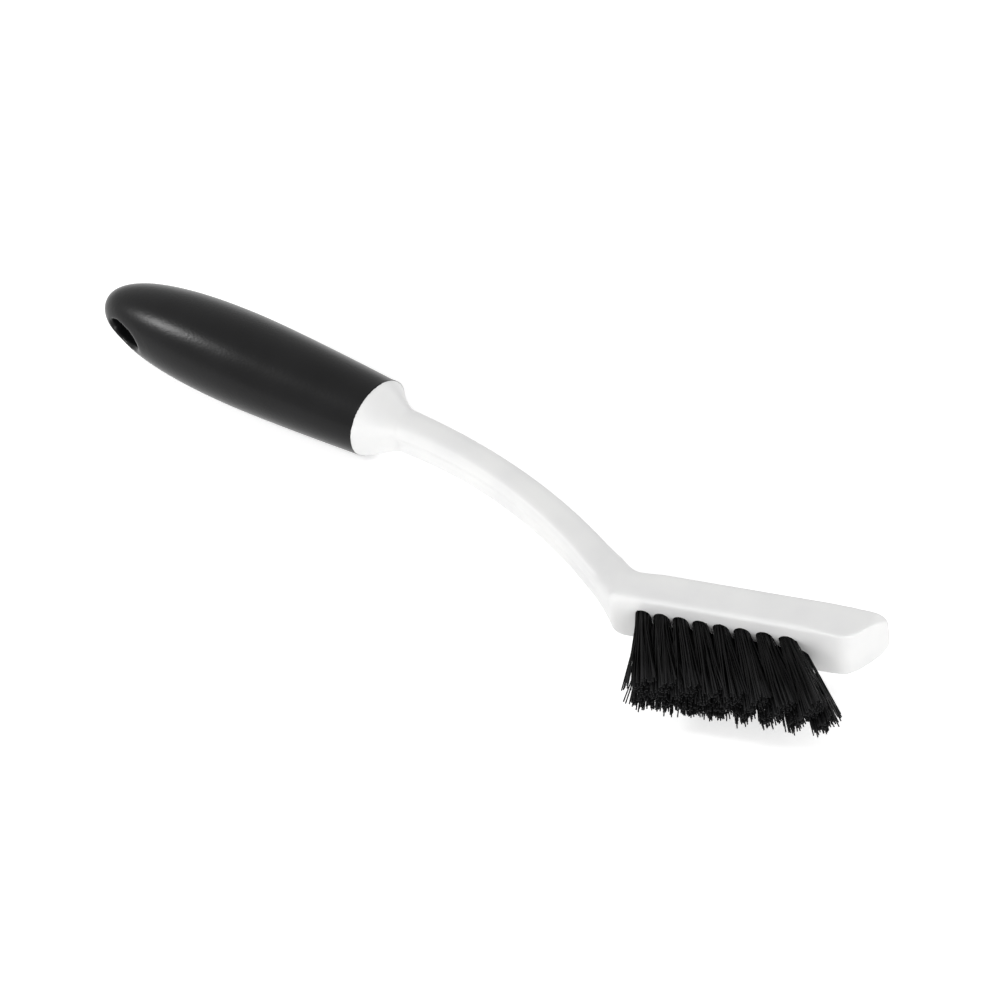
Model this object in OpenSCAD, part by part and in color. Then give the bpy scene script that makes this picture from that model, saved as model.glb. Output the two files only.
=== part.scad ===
// Grout brush with a rubber grip, a curved neck and a narrow head of leaning tufts.
// It lies on its side: X runs from the hanging hole toward the toe, along the bristle face,
// Y points from the bristles to the head's back and Z points up, out of the head's side.
// The origin is the centre of the hanging hole.

/* [Hanging hole] */
// Diameter of the round hole through the grip's tail
hole_d = 7; // [6:0.5:8]
// How much longer than the hole its two mouths are, along the grip
mouth_stretch = 4; // [2:0.2:5]
// How much wider than the hole its mouths are
mouth_play = 0.4; // [0.2:0.1:1]
// Distance from the hole's middle at which its mouths start
mouth_start = 4; // [3:0.5:5]
// Solid rubber between the mouths and the end of the tang
hole_margin = 5; // [5:0.5:12]

/* [Grip] */
// Slope of the handle, down toward the head, in degrees
handle_tilt = 16.1; // [10:0.1:22]
// From the hole's centre to the grip's front rim
hole_to_rim = 80; // [68:0.1:95]
// From the hole's centre to the tip of the tail
hole_to_tail = 8.9; // [8.8:0.1:12]
// Diameter at the front rim
rim_d = 21.6; // [20:0.1:24]
// Diameter at the belly, where the grip is thickest
belly_d = 25.3; // [24.2:0.1:30]
// From the front rim back to the belly
rim_to_belly = 42; // [34:1:50]
// Slant of the front rim from square, in degrees
rim_slant = 5.9; // [0:0.1:9]
// Thickness of the rubber over the tang
grip_wall = 1.8; // [1.2:0.1:2.4]

/* [Collar and neck] */
// Length of the flare from the rim down to the neck
collar_len = 9; // [8:0.5:12.5]
// Straight length in front of the rim, before the neck bends
neck_straight = 12.7; // [12.6:0.1:20]
// Radius of the bend, along the middle of the neck
bend_r = 154.3; // [130:0.1:190]
// Slope of the neck where its underside meets the head, in degrees
root_tilt = 46.9; // [38:0.1:52]
// Width of the neck
neck_w = 10.5; // [9:0.1:12]
// Depth of the neck at the collar
neck_depth = 10; // [9:0.1:11]
// Depth of the neck at its waist
waist_depth = 8.6; // [7.5:0.1:9]
// From the rim to the waist
rim_to_waist = 40; // [30:1:60]
// Depth of the neck at the head
root_depth = 10; // [9:0.1:10.4]
// Distance in front of the heel at which the neck starts to widen
widen_before = 6.5; // [4:0.5:8]
// Distance past the heel at which it is as wide as the head
widen_past = 1.5; // [0.5:0.5:3]
// Radius of the inner corner between the backs of the neck and the head
root_fillet_r = 9; // [2:0.5:10]
// Width of the groove along the neck's underside
groove_w = 3.4; // [2:0.1:4.5]
// Depth of that groove
groove_depth = 0.8; // [0.2:0.1:1]
// From the head back to the end of the groove
groove_stop = 3; // [1:0.5:8]

/* [Head] */
// Length of the head, from the heel to the tip of the nose
head_len = 68.5; // [67:0.1:80]
// Width of the head
head_w = 16.5; // [15.5:0.1:22]
// Thickness at the heel
heel_thick = 9.5; // [9:0.1:11]
// Thickness at the toe
toe_thick = 10.1; // [9:0.1:12]
// Angle of the nose's slanted face to the bristle face, in degrees
nose_angle = 50; // [45:1:60]
// Width at the tip of the nose, across its rounded corners
nose_w = 13.5; // [12:0.1:15]
// From the tip of the nose back to where the sides start to draw in
nose_len = 19; // [16:0.5:24]
// Radius of the head's long edges
edge_r = 1.2; // [0.6:0.1:2]
// Radius of the corners at the heel
heel_r = 4; // [2:0.5:5]
// Radius where the sides draw in to the nose
nose_side_r = 60; // [20:1:80]
// Radius where the bristle face turns into the nose
nose_root_r = 7; // [3:0.5:8]
// Radius at the tip of the nose
tip_r = 0.6; // [0.3:0.1:0.9]
// Radius of the nose's two corners
nose_corner_r = 4; // [2:0.1:5]

/* [Tufts] */
// Tufts in each of the two rows
tufts_per_row = 8; // [6:1:8]
// From the heel to the middle of the first tuft
heel_to_tuft = 8.55; // [7.5:0.05:9]
// From the middle of the last tuft to where the bristle face turns into the nose
tuft_to_nose = 12.4; // [11:0.1:14]
// How much closer together the tufts stand toward the heel, as a share of their spacing
tuft_gather = 0.13; // [0:0.01:0.15]
// Spacing between the rows
row_gap = 4.4; // [4.2:0.1:5]
// Diameter of the holes that hold the tufts
tuft_hole_d = 3.8; // [3.6:0.1:4]
// Depth of those holes along their slope
tuft_hole_depth = 6.5; // [5:0.1:7]
// Gap between a tuft and the wall of its hole
tuft_clearance = 0.05; // [0.02:0.01:0.1]
// Length of a tuft outside the head
tuft_len = 23.3; // [16:0.1:26]
// Lean of the upper row's tuft nearest the heel, toward the toe, in degrees
upper_heel_lean = 18; // [12:1:22]
// Lean of the lower row's tuft nearest the heel, in degrees
lower_heel_lean = 10; // [8:1:16]
// Lean of the tufts nearest the toe, in degrees
toe_lean = 32; // [28:1:36]
// How far the heel tufts' tips stand out from their row
row_splay = 0.7; // [0.2:0.1:1]

/* [Filaments] */
// Thickness of a filament across its corners
strand_d = 0.5; // [0.3:0.05:0.5]
// Filaments in the outer ring of a tuft
outer_strands = 16; // [12:1:16]
// Filaments in the inner ring
inner_strands = 8; // [6:1:8]
// Radius of the outer ring in the hole
bundle_r = 1.55; // [1.45:0.05:1.6]
// Radius of the outer ring at the tips, along the row
tip_spread = 2.3; // [1.8:0.05:2.4]
// Radius of the outer ring at the tips, across the row
tip_spread_across = 2.15; // [1.8:0.05:2.2]
// Most that a filament's tip strays along each direction
tip_stray = 0.15; // [0:0.05:0.2]
// Most that a filament is longer or shorter than its tuft
length_stray = 0.6; // [0:0.1:1]
// Depth below the bristle face at which the filaments join into one root
root_recess = 1.7; // [1.6:0.1:2.4]

/* [Anchors] */
// Thickness of the anchor wire
anchor_thick = 0.35; // [0.25:0.05:0.5]
// Height of the anchor wire along the hole
anchor_height = 1.8; // [1.2:0.1:2.2]
// How far each end of an anchor bites into the wall of the hole
anchor_bite = 0.25; // [0.15:0.05:0.35]
// From the bottom of the hole up to the anchor
anchor_lift = 0.8; // [0.4:0.1:1.2]

/* [Hidden] */
// Everything round that is a true curve
$fn = 96;
// Steps along the grip's outline
grip_steps = 14;
// Exponents of the grip's outline, toward the rim and toward the tail
rim_power = 1.4;
tail_power = 2.3;
// Points on each rounded corner of an outline
corner_steps = 4;
// Overlap that keeps joined bodies and cuts clear of shared faces
overlap = 1;
// Length that reaches right through any piece
through = 60;
// Straight land on each side of the slanted rim
rim_land = 0.1;
// Taper of the tang's two ends
tang_taper = 2;
// Curve of the collar's flare, on the back and on the bristle side
collar_power = 1.4;
under_power = 0.9;
// Squareness of the neck's section: an ellipse at the rim, then squarer toward the head
rim_square = 2;
neck_square = 3;
root_square = 5;
// Steps of the neck's surface along the collar, the bend and the widening
collar_steps = 7;
bend_steps = 14;
flare_steps = 16;
// Step around the neck's section, in degrees
ring_step = 15;
// Slope past the root at which the neck ends, inside the head
root_extra = 0.8;
// How far inside the head's sides the widened neck stays
root_inset = 0.2;
// Distance over which the groove fades in and out
groove_fade = 6;
// Points across the groove, lips included, and the share of its width at which the floor starts
groove_points = 5;
floor_share = 0.3;
// Sides of a filament, and how deep it reaches into the tuft's common root
strand_sides = 4;
strand_sink = 0.6;
// Share of the outer ring's radius at which the inner ring stands
inner_ring = 0.5;
// Start of the fixed scatter of the filaments
scatter = 7;

belly_r = belly_d / 2;
rim_r = rim_d / 2;
grip_len = hole_to_rim + hole_to_tail;
tail_len = grip_len - rim_to_belly;
slant_reach = rim_r * tan(rim_slant) + rim_land;
mouth_len = hole_d + mouth_stretch;
mouth_w = hole_d + mouth_play;
tang_end = hole_to_rim - mouth_len / 2 - hole_margin;

// Directions along and across a line that slopes down by an angle
function along(angle) = [cos(angle), -sin(angle), 0];
function across(angle) = [sin(angle), cos(angle), 0];

rim_centre = hole_to_rim * along(handle_tilt);
bend_start = rim_centre + neck_straight * along(handle_tilt);
bend_centre = bend_start - bend_r * across(handle_tilt);
heel_corner = bend_centre + (bend_r - root_depth / 2) * across(root_tilt);

tuft_count = 2 * tufts_per_row;
tuft_root_len = tuft_hole_depth - root_recess;
strand_count = 1 + inner_strands + outer_strands;

// The sharp corners of the head's side outline that its radii cut back, from the heel
back_slope = atan((toe_thick - heel_thick) / head_len);
tip_x = head_len + tip_r / tan((nose_angle - back_slope) / 2) - tip_r;
nose_start = tip_x - toe_thick / tan(nose_angle);
last_tuft_x = nose_start - tuft_to_nose;

function two_digits(i) = i < 10 ? str("0", i) : str(i);
function tuft_name(i) = str("tuft_", two_digits(i));

// Outline with rounded corners, from corner points that run anticlockwise and their radii
function unit(v) = v / norm(v);
function corner_arc(before, corner, after, r) =
    let (
        u = unit(before - corner),
        v = unit(after - corner),
        half = acos(u * v) / 2,
        middle = corner + unit(u + v) * r / sin(half),
        start = corner + u * r / tan(half) - middle,
        turn = sign(cross(corner - before, after - corner)) * (180 - 2 * half)
    )
    [for (k = [0 : corner_steps])
        let (a = turn * k / corner_steps)
        middle + [start.x * cos(a) - start.y * sin(a), start.x * sin(a) + start.y * cos(a)]];
function rounded(corners, radii) =
    let (n = len(corners))
    [for (i = [0 : n - 1])
        for (p = radii[i] > 0
            ? corner_arc(corners[(i + n - 1) % n], corners[i], corners[(i + 1) % n], radii[i])
            : [corners[i]])
            p];

// Radius of the grip at a distance behind the rim, and the distances at which it is drawn
function grip_r(t) =
    t < slant_reach ? rim_r
    : t < rim_to_belly
        ? belly_r - (belly_r - rim_r) * pow((rim_to_belly - t) / (rim_to_belly - slant_reach), rim_power)
        : belly_r * pow(max(0, 1 - pow((t - rim_to_belly) / tail_len, tail_power)), 1 / tail_power);
grip_stations = concat(
    [-slant_reach],
    [for (k = [0 : grip_steps / 2]) slant_reach + (rim_to_belly - slant_reach) * 2 * k / grip_steps],
    [for (k = [1 : grip_steps]) rim_to_belly + tail_len * pow(sin(90 * k / grip_steps), 2 / tail_power)]
);

module on_handle_axis() {
    // local Z runs from the rim toward the tail
    translate(rim_centre) rotate([0, 0, -handle_tilt]) rotate([0, -90, 0]) children();
}

module along_hole(d) {
    rotate([90, 0, 0]) cylinder(h = through, d = d, center = true);
}

// Oval mouth of the hole, from the grip's middle outward on the side that the sign gives
module hole_mouth(side) {
    reach = (mouth_len - mouth_w) / 2;
    translate([0, side * (mouth_start + through / 2), 0]) {
        cube([2 * reach, through, mouth_w], center = true);
        for (end = [-1, 1])
            translate([end * reach, 0, 0]) along_hole(mouth_w);
    }
}

module tang() {
    last = tang_end - tang_taper;
    kept = concat([for (t = grip_stations) if (t < last - overlap) t], [last]);
    outline = concat(
        [[0, -slant_reach - tang_taper], [rim_r - grip_wall - tang_taper, -slant_reach - tang_taper]],
        [for (t = kept) [grip_r(t) - grip_wall, t]],
        [[grip_r(tang_end) - grip_wall - tang_taper, tang_end], [0, tang_end]]
    );
    on_handle_axis() rotate_extrude() polygon(outline);
}

module grip() {
    last = len(grip_stations) - 1;
    outline = concat(
        [[0, grip_stations[0]]],
        [for (k = [0 : last - 1]) [grip_r(grip_stations[k]), grip_stations[k]]],
        [[0, grip_len]]
    );
    color("#262626")
    difference() {
        on_handle_axis() rotate_extrude() polygon(outline);
        translate(rim_centre) rotate([0, 0, -handle_tilt - rim_slant])
            translate([through / 2, 0, 0]) cube(through, center = true);
        tang();
        along_hole(hole_d);
        for (side = [-1, 1])
            hole_mouth(side);
    }
}

// The neck's middle line and slope at a distance in front of the rim
bend_end = neck_straight + bend_r * (root_tilt - handle_tilt) * PI / 180;
neck_end = neck_straight + bend_r * (root_tilt + root_extra - handle_tilt) * PI / 180;
flare_start = bend_end - (widen_before + root_depth * sin(root_tilt)) / cos(root_tilt);
function slope(s) = handle_tilt + max(0, s - neck_straight) / bend_r * 180 / PI;
function middle(s) =
    s < neck_straight ? rim_centre + s * along(handle_tilt) : bend_centre + bend_r * across(slope(s));

// Share that remains of the collar's flare, and share reached of the neck
function collar_share(s) = pow(max(0, 1 - s / collar_len), collar_power);
// The flare runs on further under the neck than on its back
function under_fill(s) = (rim_r - neck_depth / 2) * (pow(max(0, 1 - s / collar_len), under_power) - collar_share(s));
function neck_share(s) = max(0, s - collar_len) / (bend_end - collar_len);
function neck_depth_at(s) =
    s < rim_to_waist
        ? waist_depth + (neck_depth - waist_depth)
            * pow((rim_to_waist - max(s, collar_len)) / (rim_to_waist - collar_len), 2)
        : waist_depth + (root_depth - waist_depth) * pow((s - rim_to_waist) / (bend_end - rim_to_waist), 2);
function half_depth(s) = neck_depth_at(s) / 2 + (rim_r - neck_depth / 2) * collar_share(s);
// The neck widens along the bristle face, so its back is wide before its underside is
function widening(x) =
    let (share = max(0, min(1, (x - heel_corner.x + widen_before) / (widen_before + widen_past))))
    (head_w / 2 - root_inset - neck_w / 2) * share * share * (3 - 2 * share);
function half_width(s, v) =
    neck_w / 2 + (rim_r - neck_w / 2) * collar_share(s) + widening((middle(s) + v * across(slope(s))).x);
function squareness(s) =
    s < collar_len ? rim_square + (neck_square - rim_square) * s / collar_len
    : neck_square + (root_square - neck_square) * min(1, neck_share(s));
function fade(x) = max(0, min(1, x / groove_fade));

// Height of the fillet on the neck's back, which runs from the neck into the head
back_corner = bend_end - (heel_thick - root_depth * cos(root_tilt)) / sin(root_tilt);
fillet_start = back_corner - root_fillet_r * tan(root_tilt / 2);
function fillet_at(s) =
    let (reach = max(0, min(s - fillet_start, root_fillet_r * sin(root_tilt))))
    root_fillet_r - sqrt(root_fillet_r * root_fillet_r - reach * reach);
function groove_at(s) = groove_depth * fade(s - collar_len + groove_fade / 2) * fade(bend_end - groove_stop - s);

// Angles around the section, with the groove's floor and lips about the underside
function signed_power(x, p) = (x < 0 ? -1 : 1) * pow(abs(x), p);
function lip_angle(s, half) = asin(min(1, pow(half / half_width(s, -half_depth(s)), squareness(s) / 2)));
function ring_angles(s) = concat(
    [for (a = [ring_step - 90 : ring_step : 270 - ring_step]) a],
    [for (half = [groove_w / 2, groove_w * floor_share]) 270 - lip_angle(s, half)],
    [270],
    [for (half = [groove_w * floor_share, groove_w / 2]) 270 + lip_angle(s, half)]
);
function ring(s) =
    let (
        shear = tan(rim_slant) * max(0, 1 - s / collar_len),
        angles = ring_angles(s),
        last = len(angles) - 1
    )
    [for (k = [0 : last])
        let (
            sunk = k > last + 1 - groove_points && k < last ? groove_at(s) : 0,
            raised = sin(angles[k]) > 0 ? fillet_at(s) : under_fill(s),
            v = (half_depth(s) + raised) * signed_power(sin(angles[k]), 2 / squareness(s)) + sunk,
            w = half_width(s, v) * signed_power(cos(angles[k]), 2 / squareness(s))
        )
        middle(s) + v * across(slope(s)) + v * shear * along(slope(s)) + [0, 0, w]];

neck_stations = concat(
    [for (k = [0 : collar_steps]) collar_len * k / collar_steps],
    [for (k = [1 : bend_steps]) collar_len + (flare_start - collar_len) * k / bend_steps],
    [for (k = [1 : flare_steps]) flare_start + (neck_end - flare_start) * k / flare_steps]
);

module neck() {
    rings = [for (s = neck_stations) ring(s)];
    n = len(rings[0]);
    last = len(rings) - 1;
    polyhedron(
        points = [for (r = rings) for (p = r) p],
        faces = concat(
            [[for (k = [n - 1 : -1 : 0]) k]],
            [for (i = [0 : last - 1]) for (k = [0 : n - 1]) [i * n + k, (i + 1) * n + (k + 1) % n, (i + 1) * n + k]],
            [for (i = [0 : last - 1]) for (k = [0 : n - 1]) [i * n + k, i * n + (k + 1) % n, (i + 1) * n + (k + 1) % n]],
            [[for (k = [0 : n - 1]) last * n + k]]
        ),
        convexity = 6
    );
}

module at_heel() {
    translate(heel_corner) children();
}

module head() {
    side_outline = rounded(
        [[0, 0], [nose_start, 0], [tip_x, toe_thick], [0, heel_thick]],
        [0, nose_root_r, tip_r, 0]
    );
    plan_outline = rounded(
        [
            [0, -head_w / 2], [head_len - nose_len, -head_w / 2], [head_len, -nose_w / 2],
            [head_len, nose_w / 2], [head_len - nose_len, head_w / 2], [0, head_w / 2]
        ],
        [heel_r, nose_side_r, nose_corner_r, nose_corner_r, nose_side_r, heel_r]
    );
    at_heel()
    intersection() {
        linear_extrude(height = head_w, center = true) polygon(side_outline);
        rotate([90, 0, 0]) linear_extrude(height = through, center = true) polygon(plan_outline);
        edge_block(0, through, [edge_r, edge_r, 0, 0]);
        translate([0, heel_thick, 0]) rotate([0, 0, back_slope])
            edge_block(-through, 0, [0, 0, edge_r, edge_r]);
    }
}

// Block along X as wide as the head, between two heights, with its long edges rounded
module edge_block(low, high, radii) {
    rotate([0, 90, 0]) linear_extrude(height = 3 * through, center = true)
        polygon(rounded([[-head_w / 2, low], [head_w / 2, low], [head_w / 2, high], [-head_w / 2, high]], radii));
}

// Place of each tuft on the bristle face: odd tufts are in the upper row, even ones in the lower,
// half a spacing further along
function tuft_row(i) = i % 2 == 1 ? 1 : -1;
function toe_share(i) = (i - 1) / (tuft_count - 1);
function tuft_x(i) =
    let (share = toe_share(i))
    heel_to_tuft + (last_tuft_x - heel_to_tuft) * share * (1 - tuft_gather * (1 - share));
function tuft_lean(i) =
    let (heel_lean = tuft_row(i) > 0 ? upper_heel_lean : lower_heel_lean)
    heel_lean + (toe_lean - heel_lean) * toe_share(i);

module at_tuft(i) {
    // local Z leaves the head along the tuft and local Y is the part's Z
    at_heel() translate([tuft_x(i), 0, tuft_row(i) * row_gap / 2])
        rotate([0, 0, tuft_lean(i)]) rotate([90, 0, 0]) children();
}

module tuft_hole(i) {
    mouth = tuft_hole_d / 2 * tan(tuft_lean(i)) + overlap;
    at_tuft(i) translate([0, 0, -tuft_hole_depth]) cylinder(h = tuft_hole_depth + mouth, d = tuft_hole_d);
}

module anchor(i) {
    at_tuft(i) translate([0, 0, anchor_lift + anchor_height / 2 - tuft_hole_depth])
        cube([anchor_thick, tuft_hole_d + 2 * anchor_bite, anchor_height], center = true);
}

module below_face() {
    at_heel() translate([-through / 2, -through, -through / 2]) cube([2 * through, through, through]);
}

module body() {
    color("whitesmoke")
    difference() {
        union() {
            tang();
            difference() {
                union() {
                    neck();
                    head();
                }
                below_face();
            }
        }
        for (i = [1 : tuft_count]) {
            tuft_hole(i);
            anchor(i);
        }
    }
}

// Filaments stand in rings about the tuft's middle, each with its own angle and ring radius
function strand_angle(k) =
    k <= inner_strands ? 360 * (k + 0.5) / inner_strands : 360 * (k - inner_strands) / outer_strands;
function strand_ring(k) = k == 0 ? 0 : k <= inner_strands ? inner_ring : 1;

// Triangles of one filament: its root end, its tip and its sides
strand_faces = concat(
    [for (c = [1 : strand_sides - 2]) [0, c, c + 1]],
    [for (c = [1 : strand_sides - 2]) strand_sides * [1, 1, 1] + [0, c + 1, c]],
    [for (c = [0 : strand_sides - 1]) [c, c + strand_sides, (c + 1) % strand_sides]],
    [for (c = [0 : strand_sides - 1]) [(c + 1) % strand_sides, c + strand_sides, (c + 1) % strand_sides + strand_sides]]
);

module strands(i) {
    stray = rands(-1, 1, 3 * strand_count, scatter + i);
    lean_out = tuft_row(i) * row_splay * (1 - toe_share(i));
    root = strand_sink + root_recess;
    ends = [for (k = [0 : strand_count - 1])
        let (out = strand_ring(k) * [cos(strand_angle(k)), sin(strand_angle(k))])
        [
            [out.x * bundle_r, out.y * bundle_r, -root],
            [
                out.x * tip_spread + stray[3 * k] * tip_stray,
                out.y * tip_spread_across + lean_out + stray[3 * k + 1] * tip_stray,
                tuft_len + stray[3 * k + 2] * length_stray
            ]
        ]];
    corners = [for (c = [0 : strand_sides - 1])
        let (a = 360 * c / strand_sides)
        strand_d / 2 * [cos(a), sin(a), 0]];
    polyhedron(
        points = [for (strand = ends) for (end = strand) for (c = corners) end + c],
        faces = [for (k = [0 : strand_count - 1]) for (f = strand_faces) [for (c = f) 2 * strand_sides * k + c]],
        convexity = 10
    );
}

module tuft(i) {
    color("#1c1c1c")
    difference() {
        at_tuft(i) {
            translate([0, 0, -tuft_hole_depth])
                cylinder(h = tuft_root_len, d = tuft_hole_d - 2 * tuft_clearance);
            strands(i);
        }
        anchor(i);
    }
}

module anchors() {
    color("goldenrod")
    for (i = [1 : tuft_count]) anchor(i);
}

body();
grip();
anchors();
for (i = [1 : tuft_count]) {
    tuft(i);
}
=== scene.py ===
"""Grout brush lying on its side: a white moulding with a black rubber grip and leaning tufts.

Sizes are in millimetres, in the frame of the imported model: the origin is the centre of the
hanging hole, X runs along the bristle face toward the toe, Y toward the head's back and Z up.
"""

import logging
import math
import random
from collections.abc import Callable, Iterable
from dataclasses import dataclass, field
from enum import Enum

import bmesh
import bpy
from mathutils import Matrix, Vector

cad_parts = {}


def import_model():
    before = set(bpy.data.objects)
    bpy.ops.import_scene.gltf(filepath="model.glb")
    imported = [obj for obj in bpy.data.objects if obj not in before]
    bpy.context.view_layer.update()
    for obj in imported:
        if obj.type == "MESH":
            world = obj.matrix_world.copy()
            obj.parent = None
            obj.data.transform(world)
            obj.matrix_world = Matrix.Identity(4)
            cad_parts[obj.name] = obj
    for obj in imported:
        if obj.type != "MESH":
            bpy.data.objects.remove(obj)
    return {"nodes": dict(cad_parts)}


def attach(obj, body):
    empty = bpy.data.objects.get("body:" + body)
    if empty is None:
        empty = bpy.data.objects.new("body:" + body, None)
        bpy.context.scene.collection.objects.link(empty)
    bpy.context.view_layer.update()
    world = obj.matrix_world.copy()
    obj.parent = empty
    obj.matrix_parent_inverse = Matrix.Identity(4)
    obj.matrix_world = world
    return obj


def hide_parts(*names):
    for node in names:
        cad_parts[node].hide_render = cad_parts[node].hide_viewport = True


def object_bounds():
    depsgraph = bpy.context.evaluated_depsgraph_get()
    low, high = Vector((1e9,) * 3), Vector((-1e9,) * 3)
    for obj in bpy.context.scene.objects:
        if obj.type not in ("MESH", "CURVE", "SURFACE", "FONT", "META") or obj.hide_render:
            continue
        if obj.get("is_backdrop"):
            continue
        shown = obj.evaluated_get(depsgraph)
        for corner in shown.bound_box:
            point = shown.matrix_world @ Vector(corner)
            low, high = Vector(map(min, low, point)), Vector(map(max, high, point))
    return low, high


MM = 0.001
# Edges sharper than this stay sharp in the shading
SMOOTH_ANGLE = math.radians(35)
# Strength of one round of smoothing
SMOOTHING = 0.5
LOG = logging.getLogger("grout brush")


# Colour and nodes


def linear(hex_code: str) -> tuple[float, float, float, float]:
    """Turn an sRGB colour into the linear colour that a shader takes.

    Args:
        hex_code: Colour as six hexadecimal digits after a #.

    Returns:
        Red, green, blue and an alpha of 1.
    """
    parts = [int(hex_code[i : i + 2], 16) / 255 for i in (1, 3, 5)]
    red, green, blue = (c / 12.92 if c <= 0.04045 else ((c + 0.055) / 1.055) ** 2.4 for c in parts)
    return red, green, blue, 1.0


def add_node(
    tree: bpy.types.NodeTree,
    kind: str,
    settings: dict | None = None,
    links: dict | None = None,
) -> bpy.types.Node:
    """Add a node to a tree with its settings and links.

    Args:
        tree: Tree that gets the node.
        kind: Blender's name for the kind of node.
        settings: Values by property name, or by socket name or number.
        links: Output sockets that feed the node, by its input's name or number.

    Returns:
        The new node.
    """
    node = tree.nodes.new(kind)
    for key, value in (settings or {}).items():
        if isinstance(key, str) and hasattr(node, key):
            setattr(node, key, value)
        else:
            node.inputs[key].default_value = value
    for key, socket in (links or {}).items():
        tree.links.new(socket, node.inputs[key])
    return node


def blank_material(name: str) -> tuple[bpy.types.Material, bpy.types.NodeTree]:
    """Make a material with an empty node tree.

    Args:
        name: Name of the real material.

    Returns:
        The material and its tree.
    """
    material = bpy.data.materials.new(name)
    material.use_nodes = True
    material.node_tree.nodes.clear()
    return material, material.node_tree


def blend_tones(
    tree: bpy.types.NodeTree,
    share: bpy.types.NodeSocket,
    tones: tuple[str, str],
    span: tuple[float, float],
) -> bpy.types.NodeSocket:
    """Blend between two colours as a share rises through part of its range.

    Args:
        tree: Tree of the material.
        share: Socket with the share, from 0 to 1.
        tones: The colour below the span and the one above it.
        span: Shares at which the blend starts and ends.

    Returns:
        Socket with the blended colour.
    """
    stretched = add_node(
        tree,
        "ShaderNodeMapRange",
        {"From Min": span[0], "From Max": span[1]},
        {"Value": share},
    )
    blend = add_node(
        tree,
        "ShaderNodeMix",
        {"data_type": "RGBA", 6: linear(tones[0]), 7: linear(tones[1])},
        {0: stretched.outputs["Result"]},
    )
    return blend.outputs[2]


# Finishes. The gloss of the two black ones is the shader's specular level. It is well below
# the usual 0.5, because the white surroundings show at full strength to a gloss.


@dataclass(frozen=True)
class MouldedPolypropylene:
    """White polypropylene, injection moulded in a lightly blasted tool.

    It gives the eye an even, neutral white with a soft satin gloss and a little light in its
    skin. Faint flow clouds shift its white and its gloss, and the skin is never quite flat.
    """

    tones: tuple[str, str] = ("#e3e3e3", "#e9e9e8")
    tone_span: tuple[float, float] = (0.35, 0.65)
    cloud_mm: float = 14.0
    # The blasted grain is about 0.1 mm across. It is drawn at 0.5 mm, coarse enough to show.
    grain_mm: float = 0.5
    grain_depth_mm: float = 0.012
    sink_mm: float = 9.0
    sink_depth_mm: float = 0.02
    roughness: float = 0.42
    roughness_play: float = 0.04
    ior: float = 1.49
    milkiness: float = 0.08
    scatter_mm: float = 1.0

    def material(self) -> bpy.types.Material:
        """Build the material."""
        material, tree = blank_material("white_polypropylene")
        place = add_node(tree, "ShaderNodeTexCoord").outputs["Object"]
        cloud = add_node(
            tree,
            "ShaderNodeTexNoise",
            {"Scale": 1 / (self.cloud_mm * MM), "Detail": 3.0},
            {"Vector": place},
        )
        grain = add_node(
            tree,
            "ShaderNodeTexNoise",
            {"Scale": 1 / (self.grain_mm * MM), "Detail": 2.0},
            {"Vector": place},
        )
        sink = add_node(
            tree,
            "ShaderNodeTexNoise",
            {"Scale": 1 / (self.sink_mm * MM), "Detail": 1.0},
            {"Vector": place},
        )
        skin = add_node(
            tree,
            "ShaderNodeBump",
            {"Strength": 1.0, "Distance": self.sink_depth_mm * MM},
            {"Height": sink.outputs["Fac"]},
        )
        skin = add_node(
            tree,
            "ShaderNodeBump",
            {"Strength": 1.0, "Distance": self.grain_depth_mm * MM},
            {"Height": grain.outputs["Fac"], "Normal": skin.outputs["Normal"]},
        )
        colour = blend_tones(tree, cloud.outputs["Fac"], self.tones, self.tone_span)
        gloss = add_node(
            tree,
            "ShaderNodeMapRange",
            {
                "To Min": self.roughness - self.roughness_play,
                "To Max": self.roughness + self.roughness_play,
            },
            {"Value": cloud.outputs["Fac"]},
        )
        shader = add_node(
            tree,
            "ShaderNodeBsdfPrincipled",
            {
                "IOR": self.ior,
                "Subsurface Weight": self.milkiness,
                "Subsurface Radius": (1.0, 1.0, 1.0),
                "Subsurface Scale": self.scatter_mm * MM,
            },
            {
                "Base Color": colour,
                "Roughness": gloss.outputs["Result"],
                "Normal": skin.outputs["Normal"],
            },
        )
        add_node(tree, "ShaderNodeOutputMaterial", links={"Surface": shader.outputs["BSDF"]})
        return material


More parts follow.
